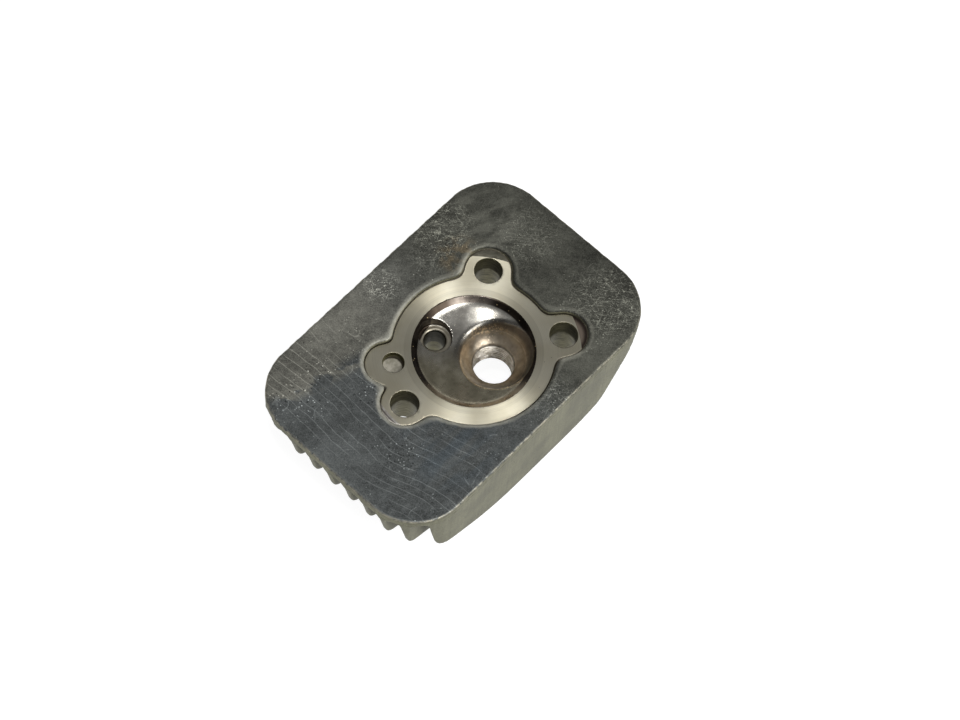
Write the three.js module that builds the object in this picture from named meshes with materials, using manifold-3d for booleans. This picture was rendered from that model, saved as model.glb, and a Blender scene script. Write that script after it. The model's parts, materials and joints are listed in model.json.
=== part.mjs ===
// Air-cooled cylinder head of a 50 cc two-stroke moped engine: one aluminium casting, built here from
// the regions that a foundryman would name (plate, gasket ring, bosses, chamber dome and cooling fins).
// Units are millimetres and +Z is up. The head lies gasket face up, on the tips of its fins, and the
// origin is under the middle of the plate, on the plane of the fin tips.

import * as THREE from 'three';
import { mergeVertices } from 'three/addons/utils/BufferGeometryUtils.js';
import Module from 'manifold-3d';

// ---- driving dimensions ----

// Plate: a rounded rectangle whose length lies along X.
const PLATE_HALF_LENGTH = 58.25;
const PLATE_HALF_WIDTH = 37.96;
const PLATE_CORNER_RADIUS = 18.7;
const PLATE_TOP_Z = 32.5;
const PLATE_BOTTOM_Z = 29.5;

// Gasket face, sunk a little below the plate, and the axis of the cylinder bore.
const GASKET_FACE_Z = 31.1;
const BORE_AXIS = [3.94, -4.59];
const GASKET_RING_RADIUS = 26;
const RING_FLANGE_RADIUS = 27.5;
const RING_BOTTOM_Z = 25.1;

// Studs: three clearance holes in round bosses that end in nut seats among the fins.
const STUD_CENTRES = [[28.21, 11.46], [28.01, -21.35], [-24.98, -1.63]];
const STUD_HOLE_RADIUS = 4.53;
const STUD_PAD_RADIUS = 8;
const STUD_COLUMN_RADIUS = 8.6;
const NUT_SEAT_Z = 12;

// Blind dowel hole in its own small pad.
const DOWEL_CENTRE = [-16.9, 10.8];
const DOWEL_HOLE_RADIUS = 3.465;
const DOWEL_HOLE_DEPTH = 2;
const DOWEL_PAD_RADIUS = 5.2;
const DOWEL_COLUMN_RADIUS = 5.8;

// Combustion chamber: a shallow dome on the bore axis and a deeper bowl on the spark-plug axis.
// The profiles run outwards as [radius, depth below the gasket face].
const CHAMBER_MOUTH_RADIUS = 20;
const CHAMBER_PROFILE = [
  [0, 5.2], [5, 5], [9.5, 4.4], [14, 3.2], [17.9, 1.65], [18.6, 0.9], [19.4, 0.35],
  [CHAMBER_MOUTH_RADIUS, 0],
];
const PLUG_AXIS = [8.74, -9.39];
const PLUG_BORE_RADIUS = 6.33;
const BOWL_PROFILE = [
  [0, 9.5], [6.9, 9.5], [9, 8.2], [10.7, 6], [11.6, 4.6], [12, 3.4], [12.3, 2], [12.3, 0],
];
const PLUG_BOSS_RADIUS = 11;
const PLUG_WELL_RADIUS = 14;
const PLUG_SEAT_Z = 11.6;

// Decompressor passage: counterbore in the chamber, valve seat and drilled hole.
const DECOMPRESSOR_AXIS = [0.44, 8.71];
const DECOMPRESSOR_COUNTERBORE_RADIUS = 5.5;
const DECOMPRESSOR_HOLE_RADIUS = 3.45;
const DECOMPRESSOR_SEAT_HEIGHT = 2.5;
const DECOMPRESSOR_BOSS_RADIUS = 7.5;
const DECOMPRESSOR_WELL_RADIUS = 11;
const DECOMPRESSOR_BOSS_BOTTOM_Z = 9;

// Dome that closes the chamber on the fin side.
const DOME_TOP_RADIUS = 20.8;
const DOME_BOTTOM_RADIUS = 20;
const DOME_BOTTOM_Z = 17.1;

// Fins stand under the plate, along X. Fin 0 is on the middle line, five more stand on each side.
const FINS_PER_SIDE = 5;
const FIN_PITCH = 7.9;
const FIN_CLOSING = 0.12;
const FIN_ROOT_THICKNESS = 2.8;
const FIN_TIP_THICKNESS = 1.8;
const OUTER_FIN_ROOT_THICKNESS = 3.2;
const OUTER_FIN_TIP_THICKNESS = 2.8;
const CROWN_FLAT = [-8, 14];
const CROWN_RADIUS = 60;
const CROWN_ANGLE = THREE.MathUtils.degToRad(23);
const LEFT_END_SLANT = THREE.MathUtils.degToRad(12);
const LEFT_CORNER_SLANT = THREE.MathUtils.degToRad(24);
const LEFT_CORNER_FIRST_FIN = 3;
const RIGHT_END_SLANT = THREE.MathUtils.degToRad(30.6);
const RIGHT_END_SETBACK = 2.8;

// Clearance between regions that meet on a curved wall, how far a cut runs past the face that it opens
// through, and the smallest fin piece worth keeping.
const GAP = 0.3;
const OVERSHOOT = 1;
const CRUMB_VOLUME = 60;

// Facets around a full circle, steps along a plate corner and along a crown arc.
const COARSE = 32;
const MEDIUM = 40;
const FINE = 64;
const CORNER_STEPS = 10;
const CROWN_STEPS = 6;
const WELD_DISTANCE = 1e-4;

// ---- solids ----

const wasm = await Module();
wasm.setup();

function solidOf(geometry) {
  const bare = geometry.clone();
  bare.deleteAttribute('normal');
  bare.deleteAttribute('uv');
  const merged = mergeVertices(bare, WELD_DISTANCE);
  const mesh = new wasm.Mesh({
    numProp: 3,
    vertProperties: new Float32Array(merged.attributes.position.array),
    triVerts: new Uint32Array(merged.index.array),
  });
  return new wasm.Manifold(mesh);
}

function geometryOf(solid) {
  const mesh = solid.getMesh();
  const geometry = new THREE.BufferGeometry();
  geometry.setAttribute('position', new THREE.BufferAttribute(mesh.vertProperties, 3));
  geometry.setIndex(new THREE.BufferAttribute(mesh.triVerts, 1));
  geometry.computeVertexNormals();
  return geometry;
}

// Upright cylinder or cone between two heights.
function column([x, y], radius, lowZ, highZ, segments = COARSE, lowRadius = radius) {
  const geometry = new THREE.CylinderGeometry(radius, lowRadius, highZ - lowZ, segments);
  geometry.rotateX(Math.PI / 2);
  geometry.translate(x, y, (lowZ + highZ) / 2);
  return solidOf(geometry);
}

// Solid of revolution about an upright axis, from [radius, depth below the gasket face] points.
function turned([x, y], profile, segments) {
  const points = profile.map(([radius, depth]) => new THREE.Vector2(radius, GASKET_FACE_Z - depth));
  const geometry = new THREE.LatheGeometry(points, segments);
  geometry.rotateX(Math.PI / 2);
  geometry.translate(x, y, 0);
  return solidOf(geometry);
}

function join(solids) {
  return solids.reduce((whole, solid) => whole.add(solid));
}

// The largest body of a cut solid, without the slivers that two clearances can leave between them.
function mainBody(solid) {
  return solid.decompose().reduce((most, body) => (body.volume() > most.volume() ? body : most));
}

// ---- chamber and passages, as solids to cut away ----

function chamberCavity() {
  const mouth = [[CHAMBER_MOUTH_RADIUS, -OVERSHOOT], [0, -OVERSHOOT]];
  const dome = turned(BORE_AXIS, [...CHAMBER_PROFILE, ...mouth], FINE);
  const bowl = turned(PLUG_AXIS, [...BOWL_PROFILE, [0, 0]], MEDIUM);
  return dome.add(bowl);
}

function plugBore() {
  return column(PLUG_AXIS, PLUG_BORE_RADIUS, 0, GASKET_FACE_Z);
}

function decompressorPassage() {
  const coneBottomZ = RING_BOTTOM_Z - DECOMPRESSOR_SEAT_HEIGHT;
  return join([
    column(DECOMPRESSOR_AXIS, DECOMPRESSOR_COUNTERBORE_RADIUS, RING_BOTTOM_Z, GASKET_FACE_Z),
    column(DECOMPRESSOR_AXIS, DECOMPRESSOR_COUNTERBORE_RADIUS, coneBottomZ, RING_BOTTOM_Z,
      COARSE, DECOMPRESSOR_HOLE_RADIUS),
    column(DECOMPRESSOR_AXIS, DECOMPRESSOR_HOLE_RADIUS, 0, RING_BOTTOM_Z),
  ]);
}

// ---- bosses ----

// A pad that shows in the plate's pocket, on a slightly wider column that bears on the plate from below.
function padOnColumn(centre, padRadius, columnRadius, bottomZ, clearance = 0) {
  const topZ = clearance > 0 ? PLATE_TOP_Z + OVERSHOOT : GASKET_FACE_Z;
  return join([
    column(centre, padRadius + clearance, PLATE_BOTTOM_Z, topZ),
    column(centre, columnRadius + clearance, bottomZ, PLATE_BOTTOM_Z),
  ]);
}

function studBoss(centre) {
  const body = padOnColumn(centre, STUD_PAD_RADIUS, STUD_COLUMN_RADIUS, NUT_SEAT_Z);
  return body.subtract(column(centre, STUD_HOLE_RADIUS, 0, PLATE_TOP_Z));
}

function dowelPad() {
  const body = padOnColumn(DOWEL_CENTRE, DOWEL_PAD_RADIUS, DOWEL_COLUMN_RADIUS, RING_BOTTOM_Z);
  const holeBottomZ = GASKET_FACE_Z - DOWEL_HOLE_DEPTH;
  return body.subtract(column(DOWEL_CENTRE, DOWEL_HOLE_RADIUS, holeBottomZ, PLATE_TOP_Z));
}

// The bosses that stand in the gasket ring, each with its clearance.
function bossRoom() {
  return join([
    ...STUD_CENTRES.map((centre) => padOnColumn(centre, STUD_PAD_RADIUS, STUD_COLUMN_RADIUS, 0, GAP)),
    padOnColumn(DOWEL_CENTRE, DOWEL_PAD_RADIUS, DOWEL_COLUMN_RADIUS, RING_BOTTOM_Z, GAP),
  ]);
}

function plugBoss() {
  return column(PLUG_AXIS, PLUG_BOSS_RADIUS, PLUG_SEAT_Z, DOME_BOTTOM_Z, MEDIUM).subtract(plugBore());
}

function decompressorBoss() {
  const body = column(DECOMPRESSOR_AXIS, DECOMPRESSOR_BOSS_RADIUS, DECOMPRESSOR_BOSS_BOTTOM_Z,
    DOME_BOTTOM_Z);
  const plugSide = column(PLUG_AXIS, PLUG_BOSS_RADIUS + GAP, 0, DOME_BOTTOM_Z, MEDIUM);
  return body.subtract(decompressorPassage()).subtract(plugSide);
}

// ---- ring, dome and plate ----

function gasketRing() {
  const body = join([
    column(BORE_AXIS, GASKET_RING_RADIUS, PLATE_BOTTOM_Z, GASKET_FACE_Z, FINE),
    column(BORE_AXIS, RING_FLANGE_RADIUS, RING_BOTTOM_Z, PLATE_BOTTOM_Z, FINE),
  ]);
  return mainBody(body.subtract(bossRoom()).subtract(chamberCavity()).subtract(decompressorPassage()));
}

function chamberDome() {
  const body = column(BORE_AXIS, DOME_TOP_RADIUS, DOME_BOTTOM_Z, RING_BOTTOM_Z, FINE,
    DOME_BOTTOM_RADIUS);
  return body.subtract(join(STUD_CENTRES.map((centre) => (
    column(centre, STUD_COLUMN_RADIUS + GAP, 0, RING_BOTTOM_Z)
  )))).subtract(chamberCavity()).subtract(plugBore()).subtract(decompressorPassage());
}

function plateOutline() {
  const x = PLATE_HALF_LENGTH - PLATE_CORNER_RADIUS;
  const y = PLATE_HALF_WIDTH - PLATE_CORNER_RADIUS;
  const outline = new THREE.Shape();
  outline.absarc(x, y, PLATE_CORNER_RADIUS, 0, Math.PI / 2, false);
  outline.absarc(-x, y, PLATE_CORNER_RADIUS, Math.PI / 2, Math.PI, false);
  outline.absarc(-x, -y, PLATE_CORNER_RADIUS, Math.PI, 1.5 * Math.PI, false);
  outline.absarc(x, -y, PLATE_CORNER_RADIUS, 1.5 * Math.PI, 2 * Math.PI, false);
  return outline;
}

function plateSlab(lowZ, highZ) {
  const geometry = new THREE.ExtrudeGeometry(plateOutline(), {
    depth: highZ - lowZ,
    bevelEnabled: false,
    curveSegments: CORNER_STEPS,
  });
  geometry.translate(0, 0, lowZ);
  return solidOf(geometry);
}

function basePlate() {
  const pocket = column(BORE_AXIS, GASKET_RING_RADIUS + GAP, 0, PLATE_TOP_Z + OVERSHOOT, FINE);
  return plateSlab(PLATE_BOTTOM_Z, PLATE_TOP_Z).subtract(pocket).subtract(bossRoom());
}

// ---- fins ----

function finOffset(index) {
  const step = Math.abs(index);
  return Math.sign(index) * (FIN_PITCH * step - FIN_CLOSING * step * step);
}

// Half the plate's length where a line along X crosses it at the given distance from the middle.
function plateReach(y) {
  const intoCorner = Math.abs(y) - (PLATE_HALF_WIDTH - PLATE_CORNER_RADIUS);
  if (intoCorner <= 0) return PLATE_HALF_LENGTH;
  const run = Math.sqrt(PLATE_CORNER_RADIUS ** 2 - intoCorner ** 2);
  return PLATE_HALF_LENGTH - PLATE_CORNER_RADIUS + run;
}

// Solid slice, as thick as stated along Y, from a shape drawn in X and Z.
function slice(shape, thickness) {
  const geometry = new THREE.ExtrudeGeometry(shape, {
    depth: thickness,
    bevelEnabled: false,
    curveSegments: CROWN_STEPS,
  });
  geometry.translate(0, 0, -thickness / 2);
  geometry.rotateX(Math.PI / 2);
  return solidOf(geometry);
}

// Side view of a fin before its ends are cut: flat in the middle, then an arc and a slope to each side.
function crownShape() {
  const [flatStart, flatEnd] = CROWN_FLAT;
  const bottom = 1.5 * Math.PI;
  const arcRun = CROWN_RADIUS * Math.sin(CROWN_ANGLE);
  const arcRise = CROWN_RADIUS * (1 - Math.cos(CROWN_ANGLE));
  const farX = PLATE_HALF_LENGTH + OVERSHOOT;
  const leftRise = arcRise + (flatStart - arcRun + farX) * Math.tan(CROWN_ANGLE);
  const rightRise = arcRise + (farX - flatEnd - arcRun) * Math.tan(CROWN_ANGLE);
  const side = new THREE.Shape();
  side.moveTo(-farX, PLATE_BOTTOM_Z);
  side.lineTo(-farX, leftRise);
  side.absarc(flatStart, CROWN_RADIUS, CROWN_RADIUS, bottom - CROWN_ANGLE, bottom, false);
  side.absarc(flatEnd, CROWN_RADIUS, CROWN_RADIUS, bottom, bottom + CROWN_ANGLE, false);
  side.lineTo(farX, rightRise);
  side.lineTo(farX, PLATE_BOTTOM_Z);
  return side;
}

// What a slanted fin end leaves out, from the x where it meets the plate; side is -1 left and 1 right.
function endCut(side, topX, slant) {
  const farX = side * (PLATE_HALF_LENGTH + 2 * OVERSHOOT);
  const highZ = PLATE_BOTTOM_Z + OVERSHOOT;
  const xAt = (z) => topX - side * Math.tan(slant) * (PLATE_BOTTOM_Z - z);
  const cut = new THREE.Shape();
  cut.moveTo(xAt(highZ), highZ);
  cut.lineTo(xAt(-OVERSHOOT), -OVERSHOOT);
  cut.lineTo(farX, -OVERSHOOT);
  cut.lineTo(farX, highZ);
  return cut;
}

function finProfile(reach, leftSlant) {
  const blank = 2 * OUTER_FIN_ROOT_THICKNESS;
  const leftEnd = endCut(-1, -reach, leftSlant);
  const rightEnd = endCut(1, reach - RIGHT_END_SETBACK, RIGHT_END_SLANT);
  return slice(crownShape(), blank)
    .subtract(slice(leftEnd, blank + OVERSHOOT))
    .subtract(slice(rightEnd, blank + OVERSHOOT));
}

// Cross-section of a fin, thicker at its root, drawn along X.
function finTaper(rootThickness, tipThickness) {
  const section = new THREE.Shape();
  section.moveTo(-rootThickness / 2, PLATE_BOTTOM_Z);
  section.lineTo(-tipThickness / 2, 0);
  section.lineTo(tipThickness / 2, 0);
  section.lineTo(rootThickness / 2, PLATE_BOTTOM_Z);
  const length = 2 * (PLATE_HALF_LENGTH + OVERSHOOT);
  const geometry = new THREE.ExtrudeGeometry(section, { depth: length, bevelEnabled: false });
  geometry.translate(0, 0, -length / 2);
  geometry.applyMatrix4(new THREE.Matrix4().makeBasis(
    new THREE.Vector3(0, 1, 0), new THREE.Vector3(0, 0, 1), new THREE.Vector3(1, 0, 0),
  ));
  return solidOf(geometry);
}

// Everything that stands among the fins, and the wells that spanners reach down.
function finClearance() {
  return join([
    bossRoom(),
    column(BORE_AXIS, RING_FLANGE_RADIUS + GAP, RING_BOTTOM_Z, PLATE_BOTTOM_Z, FINE),
    column(BORE_AXIS, DOME_TOP_RADIUS + GAP, DOME_BOTTOM_Z, RING_BOTTOM_Z + OVERSHOOT, FINE),
    column(PLUG_AXIS, PLUG_BOSS_RADIUS + GAP, 0, DOME_BOTTOM_Z, MEDIUM),
    column(PLUG_AXIS, PLUG_WELL_RADIUS, -OVERSHOOT, PLUG_SEAT_Z, MEDIUM),
    column(DECOMPRESSOR_AXIS, DECOMPRESSOR_BOSS_RADIUS + GAP, 0, DOME_BOTTOM_Z),
    column(DECOMPRESSOR_AXIS, DECOMPRESSOR_WELL_RADIUS, -OVERSHOOT, DECOMPRESSOR_BOSS_BOTTOM_Z),
  ]);
}

// Names for the pieces of one fin, by how many it has.
const SHARES = {
  1: [''],
  2: ['_left', '_right'],
  3: ['_left', '_middle', '_right'],
};

// One fin, in as many pieces as the bosses and wells leave of it, in order along X.
function finPieces(index, clearance, slab) {
  const outermost = Math.abs(index) === FINS_PER_SIDE;
  const root = outermost ? OUTER_FIN_ROOT_THICKNESS : FIN_ROOT_THICKNESS;
  const tip = outermost ? OUTER_FIN_TIP_THICKNESS : FIN_TIP_THICKNESS;
  const y = finOffset(index);
  const reach = plateReach(Math.abs(y) - root / 2);
  const leftSlant = index >= LEFT_CORNER_FIRST_FIN ? LEFT_CORNER_SLANT : LEFT_END_SLANT;
  const fin = finTaper(root, tip).intersect(finProfile(reach, leftSlant)).translate([0, y, 0]);
  const pieces = fin.intersect(slab).subtract(clearance).decompose();
  const kept = pieces.filter((piece) => piece.volume() > CRUMB_VOLUME);
  const middleX = (piece) => piece.boundingBox().min[0] + piece.boundingBox().max[0];
  kept.sort((a, b) => middleX(a) - middleX(b));
  const number = String(index + FINS_PER_SIDE + 1).padStart(2, '0');
  return kept.map((piece, order) => [`fin_${number}${SHARES[kept.length][order]}`, piece]);
}

// ---- assembly ----

const FINISHES = {
  plate: { color: 0x55564f, roughness: 0.5, metalness: 0.85 },
  machined: { color: 0xb4b2a6, roughness: 0.3, metalness: 1 },
  chamber: { color: 0x8d8574, roughness: 0.25, metalness: 1 },
  cast: { color: 0x8a8878, roughness: 0.65, metalness: 0.75 },
};

const head = new THREE.Group();
head.name = 'cylinder_head';

function place(name, solid, finish) {
  const mesh = new THREE.Mesh(geometryOf(solid), new THREE.MeshStandardMaterial(FINISHES[finish]));
  mesh.name = name;
  head.add(mesh);
}

place('base_plate', basePlate(), 'plate');
place('gasket_ring', gasketRing(), 'machined');
place('chamber_dome', chamberDome(), 'chamber');
place('spark_plug_boss', plugBoss(), 'cast');
place('decompressor_boss', decompressorBoss(), 'cast');
place('dowel_pad', dowelPad(), 'machined');
STUD_CENTRES.forEach((centre, order) => {
  place(`stud_boss_${order + 1}`, studBoss(centre), 'machined');
});

const clearance = finClearance();
const slab = plateSlab(-OVERSHOOT, PLATE_BOTTOM_Z);
for (let index = -FINS_PER_SIDE; index <= FINS_PER_SIDE; index += 1) {
  for (const [name, piece] of finPieces(index, clearance, slab)) {
    place(name, piece, 'cast');
  }
}

export default head;
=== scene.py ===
"""Looks for the cylinder head: cast aluminium pieces with fillets, a worn plate, a turned gasket face,
a polished chamber and a threaded plug hole, all shaped round the CAD model.

Shapes are signed distance fields in millimetres, negative inside, turned into meshes in metres.
"""

import json
import math

import bpy
import numpy as np
import openvdb
from mathutils import Matrix, Vector


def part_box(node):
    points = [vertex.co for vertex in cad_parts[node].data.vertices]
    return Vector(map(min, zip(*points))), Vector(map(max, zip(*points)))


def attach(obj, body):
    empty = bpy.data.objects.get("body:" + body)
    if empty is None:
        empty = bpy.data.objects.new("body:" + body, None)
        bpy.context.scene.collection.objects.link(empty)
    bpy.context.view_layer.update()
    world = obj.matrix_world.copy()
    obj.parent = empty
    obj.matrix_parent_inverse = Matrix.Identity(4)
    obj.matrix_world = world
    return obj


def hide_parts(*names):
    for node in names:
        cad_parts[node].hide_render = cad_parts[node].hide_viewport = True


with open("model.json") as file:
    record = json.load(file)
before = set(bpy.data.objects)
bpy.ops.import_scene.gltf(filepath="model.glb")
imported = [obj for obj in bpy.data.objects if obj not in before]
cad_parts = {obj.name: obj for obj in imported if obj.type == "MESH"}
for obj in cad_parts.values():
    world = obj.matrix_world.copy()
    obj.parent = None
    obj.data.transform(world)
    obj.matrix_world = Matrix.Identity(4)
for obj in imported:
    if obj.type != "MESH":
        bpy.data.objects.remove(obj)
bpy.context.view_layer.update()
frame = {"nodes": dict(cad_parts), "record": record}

MM = 0.001


# ---- places and sizes, in millimetres, from the frame ----

def node_box(name):
    low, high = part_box(name)
    return np.array(low) / MM, np.array(high) / MM


def opening_centre(name):
    boxes = {o["name"]: o["box_m"] for o in frame["record"]["physics"]["openings"]}
    low, high = boxes[name]
    return ((low[0] + high[0]) / 2 / MM, (low[1] + high[1]) / 2 / MM)


PLATE_LOW, PLATE_HIGH = node_box("base_plate")
HALF_LENGTH, HALF_WIDTH = PLATE_HIGH[0], PLATE_HIGH[1]
PLATE_TOP, PLATE_BOTTOM = PLATE_HIGH[2], PLATE_LOW[2]
CORNER_RADIUS = 18.7
FACE = node_box("gasket_ring")[1][2]
RING_BOTTOM = node_box("gasket_ring")[0][2]
DOME_BOTTOM = node_box("chamber_dome")[0][2]
PLUG_SEAT = node_box("spark_plug_boss")[0][2]
DECOMPRESSOR_BOTTOM = node_box("decompressor_boss")[0][2]
NUT_SEAT = node_box("stud_boss_1")[0][2]

BORE = opening_centre("chamber_mouth")
PLUG = opening_centre("spark_plug_hole")
DECOMPRESSOR = opening_centre("decompressor_hole")
STUDS = [opening_centre(f"stud_hole_{number}") for number in (1, 2, 3)]
DOWEL = tuple((node_box("dowel_pad")[0][:2] + node_box("dowel_pad")[1][:2]) / 2)

RING_RADIUS = 26.28
STUD_LOBE_RADIUS = 7.81
STUD_LOBE_BLEND = 4.95
DOWEL_LOBE_RADIUS = 7.47
DOWEL_LOBE_BLEND = 3.14
DOWEL_LOBE = (DOWEL[0] - 1.76, DOWEL[1] + 0.97)
TURNED_RADIUS = 34.5
TURNED_CENTRE = (BORE[0] - 0.6, BORE[1] - 0.3)
RIM_RADIUS = 20.0
STUD_HOLE_RADIUS = 4.53
DOWEL_HOLE_RADIUS = 3.465
THREAD_CREST_RADIUS = 6.33
THREAD_DEPTH = 0.62
THREAD_ROOT_RADIUS = THREAD_CREST_RADIUS + THREAD_DEPTH
THREAD_PITCH = 1.25
COUNTERBORE_RADIUS, COUNTERBORE_DEPTH = 5.5, 6.0
VALVE_SEAT_RADIUS, VALVE_BORE_RADIUS = 3.95, 3.45


# ---- distance fields ----

CONE = math.sqrt(0.5)


def smooth_min(a, b, width):
    overlap = np.maximum(width - np.abs(a - b), 0) / width
    return np.minimum(a, b) - overlap * overlap * width / 4


def round_join(a, b, radius):
    """Union with a circular fillet in the inner corner."""
    inner = np.hypot(np.maximum(radius - a, 0), np.maximum(radius - b, 0))
    return np.maximum(np.minimum(a, b), radius) - inner


def round_common(a, b, radius):
    """Intersection with a rounded outer edge."""
    outer = np.hypot(np.maximum(radius + a, 0), np.maximum(radius + b, 0))
    return np.minimum(np.maximum(a, b), -radius) + outer


def between(z, low, high):
    return np.maximum(low - z, z - high)


def distance_to(x, y, centre):
    return np.hypot(x - centre[0], y - centre[1])


def plate_outline(x, y):
    qx = np.abs(x) - (HALF_LENGTH - CORNER_RADIUS)
    qy = np.abs(y) - (HALF_WIDTH - CORNER_RADIUS)
    outside = np.hypot(np.maximum(qx, 0), np.maximum(qy, 0))
    return outside + np.minimum(np.maximum(qx, qy), 0) - CORNER_RADIUS


def lobed_outline(x, y):
    """Outline of the gasket face: a ring with a lobe round each stud and one round the dowel."""
    shape = distance_to(x, y, BORE) - RING_RADIUS
    for stud in STUDS:
        shape = smooth_min(shape, distance_to(x, y, stud) - STUD_LOBE_RADIUS, STUD_LOBE_BLEND)
    return smooth_min(shape, distance_to(x, y, DOWEL_LOBE) - DOWEL_LOBE_RADIUS, DOWEL_LOBE_BLEND)


CHAMBER_DEPTH = 5.2
SPHERE_RADIUS = 46.9
BAND_RUN, BAND_DROP = 2.1, 1.65
RIM_ROUND = 0.4
BOWL_RADIUS, BOWL_DEPTH = 12.2, 11.6
BOWL_BLEND = 1.2
SPOT_FACE_RADIUS, SPOT_FACE_DEPTH = 10.4, 10.25
PLUG_CHAMFER = 0.55


def chamber(x, y, z):
    """The combustion chamber: a steep band inside the rim, a shallow dome and the bowl round the plug."""
    up = z - FACE
    radius = distance_to(x, y, BORE)
    slope = math.hypot(BAND_RUN, BAND_DROP)
    band = ((radius - RIM_RADIUS) * BAND_DROP - up * BAND_RUN) / slope
    dome = np.hypot(radius, up - (SPHERE_RADIUS - CHAMBER_DEPTH)) - SPHERE_RADIUS
    shallow = round_common(band, dome, RIM_ROUND)
    across = distance_to(x, y, PLUG)
    low = np.minimum(up, 0)
    scaled = np.hypot(across / BOWL_RADIUS, low / BOWL_DEPTH)
    steepness = np.hypot(across / BOWL_RADIUS ** 2, low / BOWL_DEPTH ** 2)
    bowl = scaled * (scaled - 1) / np.maximum(steepness, 1e-6)
    cone = (across - THREAD_CREST_RADIUS - SPOT_FACE_DEPTH - up) * CONE
    spot_face = np.maximum(across - SPOT_FACE_RADIUS, cone)
    return smooth_min(shallow, np.minimum(bowl, spot_face), BOWL_BLEND)


def plug_hole(x, y, z):
    """Right-handed thread with flat crests and roots, and a chamfer at the chamber end."""
    across = distance_to(x, y, PLUG)
    turn = np.arctan2(y - PLUG[1], x - PLUG[0]) / (2 * math.pi)
    phase = z / THREAD_PITCH - turn
    tooth = 2 * np.abs(phase - np.round(phase))
    thread = across - (THREAD_CREST_RADIUS + THREAD_DEPTH * np.clip(1.25 * tooth - 0.12, 0, 1))
    mouth = FACE - SPOT_FACE_DEPTH
    chamfer = (across - THREAD_CREST_RADIUS - PLUG_CHAMFER + mouth - z) * CONE
    return np.minimum(thread * 0.8, np.maximum(chamfer, between(z, mouth - 0.6, mouth + 0.4)))


def decompressor_passage(x, y, z):
    """A counterbore from the chamber, a conical seat in its floor and the bore behind it."""
    across = distance_to(x, y, DECOMPRESSOR)
    floor = FACE - COUNTERBORE_DEPTH
    counterbore = round_common(across - COUNTERBORE_RADIUS, floor - z, 0.5)
    seat = (across - VALVE_SEAT_RADIUS + floor - z) * CONE
    seat = np.maximum(seat, between(z, floor - 0.5, floor + 0.2))
    return np.minimum(np.minimum(counterbore, seat), across - VALVE_BORE_RADIUS)


def stud_holes(x, y, z):
    holes = [distance_to(x, y, stud) - STUD_HOLE_RADIUS for stud in STUDS]
    return np.minimum.reduce(holes) + 0 * z


# ---- meshes ----

BAND_CELLS = 3


def mesh_of(name, field, low, high, step, adaptivity=0.0, sharp_angle=38):
    """Polygonises a distance field inside a box and returns the object, in metres.
    The adaptivity says how far flat areas may be simplified; edges over the sharp angle stay crisp."""
    low, high = np.array(low, float), np.array(high, float)
    count = np.ceil((high - low) / step).astype(int) + 1
    axes = [(low[k] + step * np.arange(count[k])).astype(np.float32) for k in range(3)]
    x, y, z = axes[0][:, None, None], axes[1][None, :, None], axes[2][None, None, :]
    values = np.broadcast_to(field(x, y, z), tuple(count)).astype(np.float32)
    band = BAND_CELLS * step
    grid = openvdb.FloatGrid(band)
    grid.copyFromArray(np.ascontiguousarray(np.clip(values, -band, band)))
    points, triangles, quads = grid.convertToPolygons(0.0, adaptivity)
    points = (points * step + low) * MM
    faces = [tuple(int(i) for i in reversed(face)) for face in quads]
    faces += [tuple(int(i) for i in reversed(face)) for face in triangles]
    mesh = bpy.data.meshes.new(name)
    mesh.from_pydata(points.tolist(), [], faces)
    mesh.validate()
    mesh.shade_smooth()
    mesh.set_sharp_from_angle(angle=math.radians(sharp_angle))
    piece = bpy.data.objects.new(name, mesh)
    bpy.context.scene.collection.objects.link(piece)
    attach(piece, "root")
    return piece


EDGE_SETBACK, EDGE_WAVE, EDGE_ROUND = 0.08, 0.10, 0.7
SHOULDER = 1.1


def plate_field(x, y, z):
    """The plate with a slightly wavy edge and a rounded shoulder round the gasket face's pocket."""
    wave = np.sin(0.83 * x + 1.3) * np.sin(0.71 * y) + 0.6 * np.sin(2.3 * x - 1.7 * y)
    side = plate_outline(x, y) + EDGE_SETBACK + EDGE_WAVE * (0.5 + 0.5 * wave)
    slab = round_common(side, z - PLATE_TOP, EDGE_ROUND)
    slab = np.maximum(slab, PLATE_BOTTOM - z)
    return round_common(slab, -lobed_outline(x, y), SHOULDER)


FACE_STEP_RADIUS = 22.3
FACE_STEP = 0.03
MOUTH_EDGE = 0.2
RIM_LAP = 0.15
GUTTER_WIDTH, GUTTER_DEPTH = 0.4, 0.2
RAW_CURL = 0.06
DOWEL_MARGIN = 1.0
DOWEL_HOLE_DEPTH = 1.9
DOME_RADIUS = 20.6
UNDERCUT = 0.8


def land_top(x, y):
    """Height of the gasket face: turned flat inside one radius, raw and curling upwards beyond it.
    The dowel's lobe is turned all over, and the band round the chamber lies a hair lower."""
    past = distance_to(x, y, TURNED_CENTRE) - TURNED_RADIUS
    past = np.minimum(past, distance_to(x, y, DOWEL_LOBE) - DOWEL_LOBE_RADIUS - DOWEL_MARGIN)
    gutter = np.clip((lobed_outline(x, y) + GUTTER_WIDTH) / (GUTTER_WIDTH / 2), 0, 1)
    step = np.clip((FACE_STEP_RADIUS - distance_to(x, y, BORE)) / 0.4 + 0.5, 0, 1)
    return FACE + RAW_CURL * np.maximum(past, 0) ** 2 - GUTTER_DEPTH * gutter - FACE_STEP * step


def dowel_hole(x, y, z):
    across = distance_to(x, y, DOWEL)
    return round_common(across - DOWEL_HOLE_RADIUS, FACE - DOWEL_HOLE_DEPTH - z, 0.4)


def land_field(x, y, z):
    floor = RING_BOTTOM - UNDERCUT - z
    body = np.maximum(lobed_outline(x, y) - UNDERCUT, np.maximum(z - land_top(x, y), floor))
    body = np.maximum(body, RIM_RADIUS - RIM_LAP - distance_to(x, y, BORE))
    body = np.maximum(body, -stud_holes(x, y, z))
    return np.maximum(body, -dowel_hole(x, y, z))


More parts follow.
